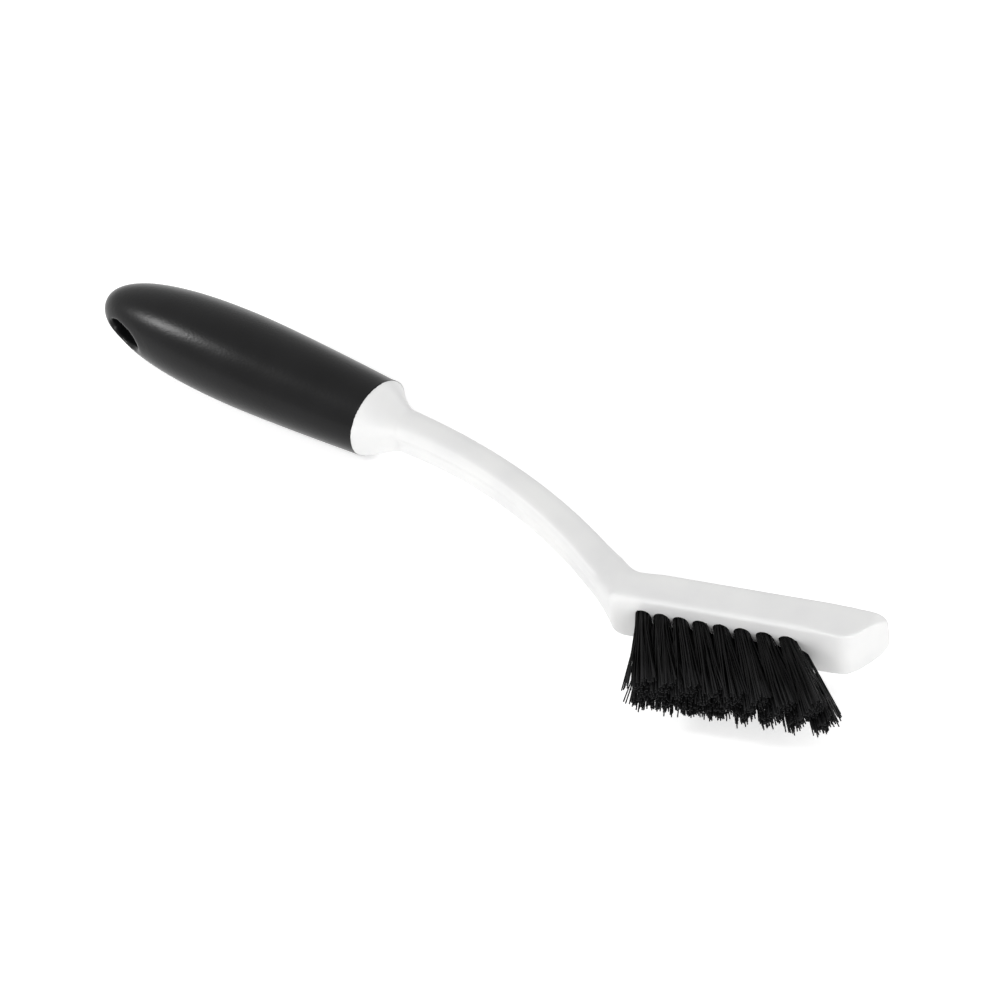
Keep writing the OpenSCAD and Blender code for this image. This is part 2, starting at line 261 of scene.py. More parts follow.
@dataclass(frozen=True)
class MouldedRubber:
    """Black thermoplastic rubber, overmoulded in a spark-eroded tool.

    It gives the eye a soft charcoal black. Its eroded grain spreads each highlight into a
    satin glow, and faint clouds make it a little duller here and glossier there.
    """

    tones: tuple[str, str] = ("#0a0a0b", "#0f0f10")
    tone_span: tuple[float, float] = (0.35, 0.65)
    cloud_mm: float = 11.0
    # The eroded grain is about 0.1 mm across. It is drawn at 0.8 mm, coarse enough to show.
    grain_mm: float = 0.8
    grain_depth_mm: float = 0.03
    roughness: float = 0.29
    roughness_play: float = 0.05
    ior: float = 1.5
    gloss: float = 0.19

    def material(self) -> bpy.types.Material:
        """Build the material."""
        material, tree = blank_material("black_thermoplastic_rubber")
        place = add_node(tree, "ShaderNodeTexCoord").outputs["Object"]
        cloud = add_node(
            tree,
            "ShaderNodeTexNoise",
            {"Scale": 1 / (self.cloud_mm * MM), "Detail": 4.0},
            {"Vector": place},
        )
        grain = add_node(
            tree,
            "ShaderNodeTexNoise",
            {"Scale": 1 / (self.grain_mm * MM), "Detail": 3.0},
            {"Vector": place},
        )
        skin = add_node(
            tree,
            "ShaderNodeBump",
            {"Strength": 1.0, "Distance": self.grain_depth_mm * MM},
            {"Height": grain.outputs["Fac"]},
        )
        colour = blend_tones(tree, cloud.outputs["Fac"], self.tones, self.tone_span)
        gloss = add_node(
            tree,
            "ShaderNodeMapRange",
            {
                "To Min": self.roughness - self.roughness_play,
                "To Max": self.roughness + self.roughness_play,
            },
            {"Value": cloud.outputs["Fac"]},
        )
        shader = add_node(
            tree,
            "ShaderNodeBsdfPrincipled",
            {"IOR": self.ior, "Specular IOR Level": self.gloss},
            {
                "Base Color": colour,
                "Roughness": gloss.outputs["Result"],
                "Normal": skin.outputs["Normal"],
            },
        )
        add_node(tree, "ShaderNodeOutputMaterial", links={"Surface": shader.outputs["BSDF"]})
        return material


@dataclass(frozen=True)
class NylonFilament:
    """Black nylon monofilament, drawn through a die and cut off square.

    It gives the eye filaments that are each a little darker or paler than the next, with a
    smooth side that catches a thin streak of light and a paler, dull cut end.
    """

    tones: tuple[str, str] = ("#020202", "#101011")
    tone_span: tuple[float, float] = (0.3, 1.0)
    end_tone: str = "#202021"
    roughness: float = 0.34
    end_roughness: float = 0.7
    gloss: float = 0.12
    ior: float = 1.53

    def material(self) -> bpy.types.Material:
        """Build the material."""
        material, tree = blank_material("black_nylon_monofilament")
        shade = add_node(tree, "ShaderNodeAttribute", {"attribute_name": "shade"})
        end = add_node(tree, "ShaderNodeAttribute", {"attribute_name": "cut_end"}).outputs["Fac"]
        side = blend_tones(tree, shade.outputs["Fac"], self.tones, self.tone_span)
        colour = add_node(
            tree,
            "ShaderNodeMix",
            {"data_type": "RGBA", 7: linear(self.end_tone)},
            {0: end, 6: side},
        )
        gloss = add_node(
            tree,
            "ShaderNodeMapRange",
            {"To Min": self.roughness, "To Max": self.end_roughness},
            {"Value": end},
        )
        shader = add_node(
            tree,
            "ShaderNodeBsdfPrincipled",
            {"IOR": self.ior, "Specular IOR Level": self.gloss},
            {"Base Color": colour.outputs[2], "Roughness": gloss.outputs["Result"]},
        )
        add_node(tree, "ShaderNodeOutputMaterial", links={"Surface": shader.outputs["BSDF"]})
        return material


@dataclass(frozen=True)
class BrassedWire:
    """Brass-plated flat steel wire, rolled and chopped to length.

    It gives the eye a dull yellow metal whose rolling lines run along the wire, some of them
    darker than the rest.
    """

    tones: tuple[str, str] = ("#9c7b3c", "#c9a961")
    tone_span: tuple[float, float] = (0.3, 0.7)
    # Real rolling lines are a few hundredths of a millimetre apart. These are coarser, to show.
    line_mm: float = 0.12
    line_stretch: float = 20.0
    line_depth_mm: float = 0.01
    line_strength: float = 0.6
    roughness: float = 0.34

    def material(self) -> bpy.types.Material:
        """Build the material."""
        material, tree = blank_material("brass_plated_wire")
        place = add_node(tree, "ShaderNodeTexCoord").outputs["Object"]
        turned = add_node(
            tree,
            "ShaderNodeMapping",
            {"Scale": (1.0, 1.0, 1 / self.line_stretch)},
            {"Vector": place},
        )
        lines = add_node(
            tree,
            "ShaderNodeTexNoise",
            {"Scale": 1 / (self.line_mm * MM), "Detail": 2.0},
            {"Vector": turned.outputs["Vector"]},
        )
        rolled = add_node(
            tree,
            "ShaderNodeBump",
            {"Strength": self.line_strength, "Distance": self.line_depth_mm * MM},
            {"Height": lines.outputs["Fac"]},
        )
        colour = blend_tones(tree, lines.outputs["Fac"], self.tones, self.tone_span)
        shader = add_node(
            tree,
            "ShaderNodeBsdfPrincipled",
            {"Metallic": 1.0, "Roughness": self.roughness},
            {"Base Color": colour, "Normal": rolled.outputs["Normal"]},
        )
        add_node(tree, "ShaderNodeOutputMaterial", links={"Surface": shader.outputs["BSDF"]})
        return material


def shown_directly(tree: bpy.types.NodeTree) -> bpy.types.NodeSocket:
    """Give 1 for what the camera, a gloss or a clear piece sees, and 0 for light on the object.

    Args:
        tree: Tree that gets the nodes.

    Returns:
        Socket with the share.
    """
    path = add_node(tree, "ShaderNodeLightPath")
    seen = add_node(
        tree,
        "ShaderNodeMath",
        {"operation": "MAXIMUM"},
        {0: path.outputs["Is Camera Ray"], 1: path.outputs["Is Glossy Ray"]},
    )
    seen = add_node(
        tree,
        "ShaderNodeMath",
        {"operation": "MAXIMUM"},
        {0: seen.outputs["Value"], 1: path.outputs["Is Transmission Ray"]},
    )
    return seen.outputs["Value"]


@dataclass(frozen=True)
class PaperSweep:
    """Matt white paper, pressed between felts.

    It gives the eye a plain white floor that keeps the object's shadow. Part of its white is
    its own, seen only directly, so that no more light has to fall on the object.
    """

    tone: str = "#f4f4f4"
    lift: float = 0.51
    # The paper's tooth is about 0.1 mm across. It is drawn at 0.6 mm, coarse enough to show.
    tooth_mm: float = 0.6
    tooth_depth_mm: float = 0.02
    tooth_strength: float = 0.3

    def material(self) -> bpy.types.Material:
        """Build the material."""
        material, tree = blank_material("white_paper")
        place = add_node(tree, "ShaderNodeTexCoord").outputs["Object"]
        tooth = add_node(
            tree,
            "ShaderNodeTexNoise",
            {"Scale": 1 / (self.tooth_mm * MM), "Detail": 2.0},
            {"Vector": place},
        )
        bump = add_node(
            tree,
            "ShaderNodeBump",
            {"Strength": self.tooth_strength, "Distance": self.tooth_depth_mm * MM},
            {"Height": tooth.outputs["Fac"]},
        )
        paper = add_node(
            tree,
            "ShaderNodeBsdfDiffuse",
            {"Color": linear(self.tone)},
            {"Normal": bump.outputs["Normal"]},
        )
        strength = add_node(
            tree,
            "ShaderNodeMath",
            {"operation": "MULTIPLY", 1: self.lift},
            {0: shown_directly(tree)},
        )
        glow = add_node(tree, "ShaderNodeEmission", links={"Strength": strength.outputs["Value"]})
        both = add_node(
            tree,
            "ShaderNodeAddShader",
            links={0: paper.outputs["BSDF"], 1: glow.outputs["Emission"]},
        )
        add_node(tree, "ShaderNodeOutputMaterial", links={"Surface": both.outputs["Shader"]})
        return material


# Modelling by hand


def only(piece: bpy.types.Object) -> None:
    """Leave object mode's selection with one piece, which is also the active one.

    Args:
        piece: Piece to work on.
    """
    if bpy.context.mode != "OBJECT":
        bpy.ops.object.mode_set(mode="OBJECT")
    bpy.ops.object.select_all(action="DESELECT")
    piece.select_set(True)
    bpy.context.view_layer.objects.active = piece


def finish_with(piece: bpy.types.Object, kind: str, **settings: object) -> None:
    """Add a modifier to a piece and apply it.

    Args:
        piece: Piece to change.
        kind: Blender's name for the kind of modifier.
        settings: The modifier's values.
    """
    only(piece)
    modifier = piece.modifiers.new(kind, kind)
    for key, value in settings.items():
        setattr(modifier, key, value)
    bpy.ops.object.modifier_apply(modifier=modifier.name)


def combine(piece: bpy.types.Object, tool: bpy.types.Object, operation: str) -> None:
    """Cut a piece with a tool, or join the two, and remove the tool.

    Args:
        piece: Piece to change.
        tool: Closed mesh that is used up.
        operation: DIFFERENCE, UNION or INTERSECT.
    """
    finish_with(piece, "BOOLEAN", object=tool, operation=operation, solver="MANIFOLD")
    bpy.data.objects.remove(tool)


def join(pieces: list[bpy.types.Object], name: str) -> bpy.types.Object:
    """Join several pieces into the first one.

    Args:
        pieces: Pieces to join.
        name: Name of the result.

    Returns:
        The joined piece.
    """
    only(pieces[0])
    for piece in pieces[1:]:
        piece.select_set(True)
    bpy.ops.object.join()
    pieces[0].name = name
    return pieces[0]


def drawn_through(name: str, rings: list[list[Vector]]) -> bpy.types.Object:
    """Extrude a filled circle from ring to ring and leave both ends closed.

    Args:
        name: Name of the piece.
        rings: Points of each ring in millimetres, as many in each and in the same order.

    Returns:
        The closed mesh.
    """
    if bpy.context.mode != "OBJECT":
        bpy.ops.object.mode_set(mode="OBJECT")
    bpy.ops.object.select_all(action="DESELECT")
    bpy.ops.mesh.primitive_circle_add(vertices=len(rings[0]), radius=MM, fill_type="NGON")
    piece = bpy.context.object
    piece.name = name
    place = piece.data.attributes.new("place", "INT", "POINT")
    place.data.foreach_set("value", range(len(rings[0])))
    bpy.ops.object.mode_set(mode="EDIT")
    bpy.ops.mesh.select_all(action="SELECT")
    for k, ring in enumerate(rings):
        if k:
            bpy.ops.mesh.extrude_region_move()
        mesh = bmesh.from_edit_mesh(piece.data)
        order = mesh.verts.layers.int["place"]
        for point in mesh.verts:
            if point.select:
                point.co = ring[point[order]] * MM
        bmesh.update_edit_mesh(piece.data)
    bpy.ops.mesh.select_all(action="SELECT")
    bpy.ops.mesh.normals_make_consistent(inside=False)
    bpy.ops.object.mode_set(mode="OBJECT")
    piece.data.attributes.remove(piece.data.attributes["place"])
    return piece


def cut_square(piece: bpy.types.Object, point: Vector, normal: Vector) -> None:
    """Cut a piece with a plane, drop what lies on the normal's side and close the cut.

    Args:
        piece: Piece to cut.
        point: Point of the plane, in millimetres.
        normal: Direction of the part that goes.
    """
    only(piece)
    bpy.ops.object.mode_set(mode="EDIT")
    bpy.ops.mesh.select_all(action="SELECT")
    bpy.ops.mesh.bisect(plane_co=point * MM, plane_no=normal, use_fill=True, clear_outer=True)
    bpy.ops.object.mode_set(mode="OBJECT")


def soften(piece: bpy.types.Object, grid: float, rounds: int) -> None:
    """Rebuild a piece on an even grid and round its edges and inner corners.

    Args:
        piece: Piece to change.
        grid: Size of the grid in millimetres.
        rounds: Rounds of smoothing, each of which rounds the edges a little more.
    """
    finish_with(piece, "REMESH", mode="VOXEL", voxel_size=grid * MM)
    finish_with(piece, "SMOOTH", factor=SMOOTHING, iterations=rounds)


def soften_near(piece: bpy.types.Object, reach: Callable[[Vector], float], rounds: int) -> None:
    """Smooth one region of a piece, fading out around it.

    Args:
        piece: Piece to change.
        reach: Gives the share of smoothing at a point in millimetres.
        rounds: Rounds of smoothing.
    """
    group = piece.vertex_groups.new(name="region")
    for point in piece.data.vertices:
        share = reach(point.co / MM)
        if share > 0:
            group.add([point.index], share, "REPLACE")
    finish_with(piece, "SMOOTH", factor=SMOOTHING, iterations=rounds, vertex_group="region")
    piece.vertex_groups.clear()


def dress(piece: bpy.types.Object, material: bpy.types.Material, node: str) -> None:
    """Finish a piece and put it in the place of a CAD node.

    Args:
        piece: Finished mesh, with its place in the mesh.
        material: Its material.
        node: CAD node that it stands for.
    """
    piece.data.materials.clear()
    piece.data.materials.append(material)
    only(piece)
    bpy.ops.object.shade_smooth_by_angle(angle=SMOOTH_ANGLE)
    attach(piece, "root")
    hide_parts(node)
    LOG.info("%s stands for %s: %d faces", piece.name, node, len(piece.data.polygons))


# The brush's lines


def along(angle: float) -> Vector:
    """Give the direction of a line that slopes down by an angle in degrees."""
    return Vector((math.cos(math.radians(angle)), -math.sin(math.radians(angle)), 0))


def across(angle: float) -> Vector:
    """Give the direction square to such a line, toward the brush's back."""
    return Vector((math.sin(math.radians(angle)), math.cos(math.radians(angle)), 0))


@dataclass(frozen=True)
class Layout:
    """Lines that the pieces share: the handle's axis, the bend of the neck and the bristle face."""

    handle_tilt: float = 16.1
    hole_to_rim: float = 80.0
    rim_d: float = 21.6
    rim_slant: float = 5.9
    neck_straight: float = 12.7
    bend_r: float = 154.3
    root_tilt: float = 46.9
    root_depth: float = 10.0

    @property
    def rim_centre(self) -> Vector:
        """Centre of the grip's front rim."""
        return self.hole_to_rim * along(self.handle_tilt)

    @property
    def rim_normal(self) -> Vector:
        """Direction square to the slanted rim, out of the grip."""
        return along(self.handle_tilt + self.rim_slant)

    @property
    def bend_centre(self) -> Vector:
        """Centre of the neck's bend."""
        bend_start = self.rim_centre + self.neck_straight * along(self.handle_tilt)
        return bend_start - self.bend_r * across(self.handle_tilt)

    @property
    def heel(self) -> Vector:
        """Corner at which the neck's underside meets the bristle face."""
        return self.bend_centre + (self.bend_r - self.root_depth / 2) * across(self.root_tilt)

    def on_axis(self, behind_rim: float) -> Vector:
        """Give the point of the handle's axis at a distance behind the rim."""
        return (self.hole_to_rim - behind_rim) * along(self.handle_tilt)

    def about_axis(self, behind_rim: float, radius: float, steps: int) -> list[Vector]:
        """Give a ring of points about the handle's axis.

        Args:
            behind_rim: Distance of the ring behind the rim.
            radius: Radius of the ring.
            steps: Number of points.

        Returns:
            The points in millimetres.
        """
        turns = (2 * math.pi * k / steps for k in range(steps))
        up, side = across(self.handle_tilt), Vector((0, 0, 1))
        middle = self.on_axis(behind_rim)
        return [middle + radius * (math.cos(a) * side + math.sin(a) * up) for a in turns]


@dataclass(frozen=True)
class GripLine:
    """Outline of the grip: the rim, the belly and the blunt tail."""

    layout: Layout
    belly_r: float = 12.65
    rim_to_belly: float = 42.0
    length: float = 88.9
    rim_power: float = 1.4
    tail_power: float = 2.3
    # Straight land on each side of the slanted rim
    rim_land: float = 0.1

    def radius(self, behind_rim: float) -> float:
        """Give the grip's radius at a distance behind the rim."""
        rim_r = self.layout.rim_d / 2
        reach = rim_r * math.tan(math.radians(self.layout.rim_slant)) + self.rim_land
        if behind_rim < reach:
            return rim_r
        if behind_rim < self.rim_to_belly:
            share = (self.rim_to_belly - behind_rim) / (self.rim_to_belly - reach)
            return self.belly_r - (self.belly_r - rim_r) * share**self.rim_power
        share = (behind_rim - self.rim_to_belly) / (self.length - self.rim_to_belly)
        return self.belly_r * max(0.0, 1 - share**self.tail_power) ** (1 / self.tail_power)

    def stations(self, front: float, back: float, steps: int) -> list[float]:
        """Give distances behind the rim, closer together toward the tail.

        Args:
            front: First distance.
            back: Last distance.
            steps: Number of steps.

        Returns:
            The distances.
        """
        shares = (math.sin(math.pi / 2 * k / steps) for k in range(steps + 1))
        return [front + (back - front) * share for share in shares]


# Sub-assemblies


def rounded(corners: list[tuple[float, float, float]], steps: int) -> list[tuple[float, float]]:
    """Round the corners of an outline.

    Args:
        corners: Each corner's place and radius, anticlockwise.
        steps: Steps on each rounded corner.

    Returns:
        Points of the outline.
    """
    points = []
    count = len(corners)
    for k, (x, y, radius) in enumerate(corners):
        corner = Vector((x, y))
        if radius == 0:
            points.append((x, y))
            continue
        before, after = (Vector(corners[(k + d) % count][:2]) for d in (-1, 1))
        u, v = (before - corner).normalized(), (after - corner).normalized()
        half = math.acos(u.dot(v)) / 2
        middle = corner + (u + v).normalized() * radius / math.sin(half)
        start = corner + u * radius / math.tan(half) - middle
        way = math.copysign(1, (corner - before).cross(after - corner))
        for j in range(steps + 1):
            a = way * (math.pi - 2 * half) * j / steps
            points.append(
                (
                    middle.x + start.x * math.cos(a) - start.y * math.sin(a),
                    middle.y + start.x * math.sin(a) + start.y * math.cos(a),
                )
            )
    return points


@dataclass
class Tang:
    """Core of the moulding inside the grip: the grip's own outline less the rubber's thickness."""

    line: GripLine
    grip_wall: float = 1.8
    end: float = 69.5
    taper: float = 2.0
    # How far its tapered nose and its full section reach in front of the rim's middle
    nose: float = 3.2
    full: float = 1.2
    steps: int = 64
    stations: int = 24

    def mesh(self) -> bpy.types.Object:
        """Model the core as a circle drawn along the handle's axis."""
        rim_r = self.line.layout.rim_d / 2
        spots = [(-self.nose, rim_r - self.grip_wall - self.taper)]
        for behind in self.line.stations(-self.full, self.end - self.taper, self.stations):
            spots.append((behind, self.line.radius(behind) - self.grip_wall))
        spots.append((self.end, self.line.radius(self.end) - self.grip_wall - self.taper))
        rings = [self.line.layout.about_axis(b, r, self.steps) for b, r in spots]
        return drawn_through("tang", rings)


@dataclass
class Moulding:
    """White moulding: tang, flared collar, curved neck and head with a slanted nose."""

    layout: Layout
    tang: Tang
    finish: MouldedPolypropylene
    collar_len: float = 9.0
    collar_power: float = 1.4
    under_power: float = 0.9
    neck_w: float = 10.5
    neck_depth: float = 10.0
    waist_depth: float = 8.6
    rim_to_waist: float = 40.0
    widen_before: float = 6.5
    widen_past: float = 1.5
    groove_w: float = 3.4
    groove_depth: float = 0.8
    groove_fade: float = 6.0
    groove_stop: float = 3.0
    head_len: float = 68.5
    head_w: float = 16.5
    heel_thick: float = 9.5
    toe_thick: float = 10.1
    nose_angle: float = 50.0
    nose_w: float = 13.5
    nose_len: float = 19.0
    edge_r: float = 1.2
    heel_r: float = 3.0
    heel_reach: float = 0.6
    nose_side_r: float = 60.0
    nose_root_r: float = 7.0
    tip_r: float = 0.6
    nose_corner_r: float = 4.0
    root_fillet_r: float = 9.0
    # Squareness of the neck's section: an ellipse at the rim, squarer at the collar and the head
    rim_square: float = 2.0
    neck_square: float = 3.0
    root_square: float = 5.0
    # How far inside the head's sides the neck ends, and how far past the bend
    root_inset: float = 0.1
    root_extra: float = 2.2
    # Share of the groove's width over which each lip slopes
    groove_lip: float = 0.2
    # The neck's sections: inside the grip, then a step apart on the collar, then on the bend
    inside_grip: tuple[float, float] = (-3.0, -1.0)
    collar_step: float = 0.55
    collar_steps: int = 20
    bend_steps: int = 70
    ring_points: int = 72
    corner_steps: int = 8
    edge_steps: int = 6
    # Reach of the tools that shape the head: across it, and along it from the heel
    tool_reach: float = 60.0
    tool_run: tuple[float, float] = (-20.0, 100.0)
    # Rounds of smoothing that round the edges and the junction of neck and head
    edge_rounds: int = 6
    junction_rounds: int = 180
    # Middle of the junction, in front of the heel and below the head's back, and its reach
    junction: tuple[float, float] = (0.5, 1.5)
    junction_reach: float = 11.0
    junction_fade: float = 7.0
    grid: float = 0.32

    @property
    def bend_end(self) -> float:
        """Distance in front of the rim at which the neck reaches the head."""
        turn = math.radians(self.layout.root_tilt - self.layout.handle_tilt)
        return self.layout.neck_straight + self.layout.bend_r * turn

    @property
    def tip_x(self) -> float:
        """Sharp corner of the nose that its radius cuts back, from the heel."""
        rise = math.atan((self.toe_thick - self.heel_thick) / self.head_len)
        slope = math.radians(self.nose_angle) - rise
        return self.head_len + self.tip_r / math.tan(slope / 2) - self.tip_r

    @property
    def nose_start(self) -> float:
        """Where the bristle face turns into the nose, from the heel."""
        return self.tip_x - self.toe_thick / math.tan(math.radians(self.nose_angle))

    def depth(self, s: float) -> float:
        """Give the neck's depth at a distance in front of the rim, least at the waist."""
        if s < self.rim_to_waist:
            run = self.rim_to_waist - self.collar_len
            share = (self.rim_to_waist - max(s, self.collar_len)) / run
            return self.waist_depth + (self.neck_depth - self.waist_depth) * share**2
        share = (s - self.rim_to_waist) / (self.bend_end - self.rim_to_waist)
        return self.waist_depth + (self.layout.root_depth - self.waist_depth) * share**2

    def squareness(self, s: float) -> float:
        """Give the squareness of the neck's section at a distance in front of the rim."""
        if s < self.collar_len:
            share = max(0.0, s) / self.collar_len
            return self.rim_square + (self.neck_square - self.rim_square) * share
        share = min(1.0, (s - self.collar_len) / (self.bend_end - self.collar_len))
        return self.neck_square + (self.root_square - self.neck_square) * share

    def groove(self, s: float) -> float:
        """Give the groove's depth at a distance in front of the rim."""
        fade_in = (s - self.collar_len + self.groove_fade / 2) / self.groove_fade
        fade_out = (self.bend_end - self.groove_stop - s) / self.groove_fade
        return self.groove_depth * min(1.0, max(0.0, fade_in)) * min(1.0, max(0.0, fade_out))

    def neck_ring(self, s: float) -> list[Vector]:
        """Give the neck's section at a distance in front of the rim.

        Args:
            s: Distance along the neck's middle line.

        Returns:
            Points of the section in millimetres.
        """
        lay = self.layout
        rim_r = lay.rim_d / 2
        slope = lay.handle_tilt + max(0.0, s - lay.neck_straight) / lay.bend_r * 180 / math.pi
        if s < lay.neck_straight:
            middle = lay.rim_centre + s * along(lay.handle_tilt)
        else:
            middle = lay.bend_centre + lay.bend_r * across(slope)
        # The collar's flare, which runs on further under the neck than on its back
        flare = min(1.0, max(0.0, 1 - s / self.collar_len))
        collar = flare**self.collar_power
        under_fill = (rim_r - self.neck_depth / 2) * (flare**self.under_power - collar)
        half_depth = self.depth(s) / 2 + (rim_r - self.neck_depth / 2) * collar
        half_width = self.neck_w / 2 + (rim_r - self.neck_w / 2) * collar
        shear = math.tan(math.radians(lay.rim_slant)) * max(0.0, 1 - max(0.0, s) / self.collar_len)
        power = 2 / self.squareness(s)
        points = []
        for k in range(self.ring_points):
            a = 2 * math.pi * k / self.ring_points
            v = half_depth * math.copysign(abs(math.sin(a)) ** power, math.sin(a))
            v *= 1 + (self.fillet(s) if v > 0 else under_fill) / half_depth
            wide = half_width + self.widening((middle + v * across(slope)).x)
            w = wide * math.copysign(abs(math.cos(a)) ** power, math.cos(a))
            if v < 0:
                v += self.groove(s) * self.groove_share(w)
            points.append(middle + v * across(slope) + v * shear * along(slope) + Vector((0, 0, w)))
        return points

    def widening(self, x: float) -> float:
        """Give how much wider than the neck each side is at a place along the bristle face."""
        run = self.widen_before + self.widen_past
        share = min(1.0, max(0.0, (x - self.layout.heel.x + self.widen_before) / run))
        most = self.head_w / 2 - self.root_inset - self.neck_w / 2
        return most * share**2 * (3 - 2 * share)

    def fillet(self, s: float) -> float:
        """Give the height of the fillet that runs from the neck's back into the head's."""
        tilt = math.radians(self.layout.root_tilt)
        rise = self.heel_thick - self.layout.root_depth * math.cos(tilt)
        corner = self.bend_end - rise / math.sin(tilt)
        reach = s - corner + self.root_fillet_r * math.tan(tilt / 2)
        reach = max(0.0, min(reach, self.root_fillet_r * math.sin(tilt)))
        return self.root_fillet_r - math.sqrt(self.root_fillet_r**2 - reach**2)

    def groove_share(self, w: float) -> float:
        """Give the share of the groove's depth at a distance from the neck's middle plane."""
        edge = (self.groove_w / 2 - abs(w)) / (self.groove_w * self.groove_lip)
        return min(1.0, max(0.0, edge))

    def neck(self) -> bpy.types.Object:
        """Model the collar and neck as a section drawn from inside the grip to inside the head."""
        stations = [self.collar_step * k for k in range(self.collar_steps + 1)]
        start, run = stations[-1], self.bend_end + self.root_extra - stations[-1]
        stations += [start + run * k / self.bend_steps for k in range(1, self.bend_steps + 1)]
        stations = [*self.inside_grip, *stations]
        neck = drawn_through("neck", [self.neck_ring(s) for s in stations])
        cut_square(neck, self.layout.heel, Vector((0, -1, 0)))
        return neck

    def block(
        self,
        name: str,
        outline: list[tuple[float, float]],
        place: Callable[[float, float, float], Vector],
        low: float,
        high: float,
    ) -> bpy.types.Object:
        """Extrude an outline into a block.

        Args:
            name: Name of the block.
            outline: Points of the outline.
            place: Puts an outline's point and a height into the frame.
            low: Height at which the block starts.
            high: Height at which it ends.

        Returns:
            The block.
        """
        return drawn_through(name, [[place(x, y, h) for x, y in outline] for h in (low, high)])

    def head(self) -> bpy.types.Object:
        """Model the head from its side, plan and end outlines."""
        heel = self.layout.heel
        half = self.head_w / 2
        side = rounded(
            [
                (-self.heel_reach, 0, 0),
                (self.nose_start, 0, self.nose_root_r),
                (self.tip_x, self.toe_thick, self.tip_r),
                (-self.heel_reach, self.heel_thick, 0),
            ],
            self.corner_steps,
        )
        plan = rounded(
            [
                (-self.heel_reach, -half, self.heel_r),
                (self.head_len - self.nose_len, -half, self.nose_side_r),
                (self.head_len, -self.nose_w / 2, self.nose_corner_r),
                (self.head_len, self.nose_w / 2, self.nose_corner_r),
                (self.head_len - self.nose_len, half, self.nose_side_r),
                (-self.heel_reach, half, self.heel_r),
            ],
            self.corner_steps,
        )
        r, far = self.edge_r, self.tool_reach
        lower = rounded(
            [(-half, 0, r), (half, 0, r), (half, far, 0), (-half, far, 0)], self.edge_steps
        )
        upper = rounded(
            [(-half, -far, 0), (half, -far, 0), (half, 0, r), (-half, 0, r)], self.edge_steps
        )
        rise = math.atan((self.toe_thick - self.heel_thick) / self.head_len)
        back = Vector((math.cos(rise), math.sin(rise), 0))
        out = Vector((-math.sin(rise), math.cos(rise), 0))
        top = heel + Vector((0, self.heel_thick, 0))

        def in_side(x: float, y: float, h: float) -> Vector:
            """Put a point of the side outline at a height."""
            return heel + Vector((x, y, h))

        def in_plan(x: float, z: float, h: float) -> Vector:
            """Put a point of the plan outline at a height."""
            return heel + Vector((x, h, z))

        def by_face(z: float, y: float, h: float) -> Vector:
            """Put a point of the lower end outline at a distance along the bristle face."""
            return heel + Vector((h, y, z))

        def by_back(z: float, y: float, h: float) -> Vector:
            """Put a point of the upper end outline at a distance along the head's back."""
            return top + back * h + out * y + Vector((0, 0, z))

        head = self.block("head", side, in_side, -half, half)
        for name, outline, place, run in (
            ("plan", plan, in_plan, (-far / 2, far / 2)),
            ("lower_edges", lower, by_face, self.tool_run),
            ("upper_edges", upper, by_back, self.tool_run),
        ):
            combine(head, self.block(name, outline, place, *run), "INTERSECT")
        return head

    def near_heel(self, point: Vector) -> float:
        """Give how far a point belongs to the soft junction of neck and head."""
        forward, down = self.junction
        root = self.layout.heel + Vector((forward, self.heel_thick - down, 0))
        away = math.hypot(point.x - root.x, point.y - root.y)
        return min(1.0, max(0.0, (self.junction_reach - away) / self.junction_fade))

    def build(self, holes: bpy.types.Object, slots: bpy.types.Object) -> bpy.types.Object:
        """Build the moulding.

        Args:
            holes: Tool with the shape of all the tuft holes.
            slots: Tool with the shape of all the anchors.

        Returns:
            The finished piece.
        """
        piece = self.neck()
        combine(piece, self.head(), "UNION")
        soften(piece, self.grid, self.edge_rounds)
        soften_near(piece, self.near_heel, self.junction_rounds)
        cut_square(piece, self.layout.rim_centre, -self.layout.rim_normal)
        combine(piece, self.tang.mesh(), "UNION")
        combine(piece, holes, "DIFFERENCE")
        combine(piece, slots, "DIFFERENCE")
        piece.name = "moulding"
        dress(piece, self.finish.material(), "body")
        return piece


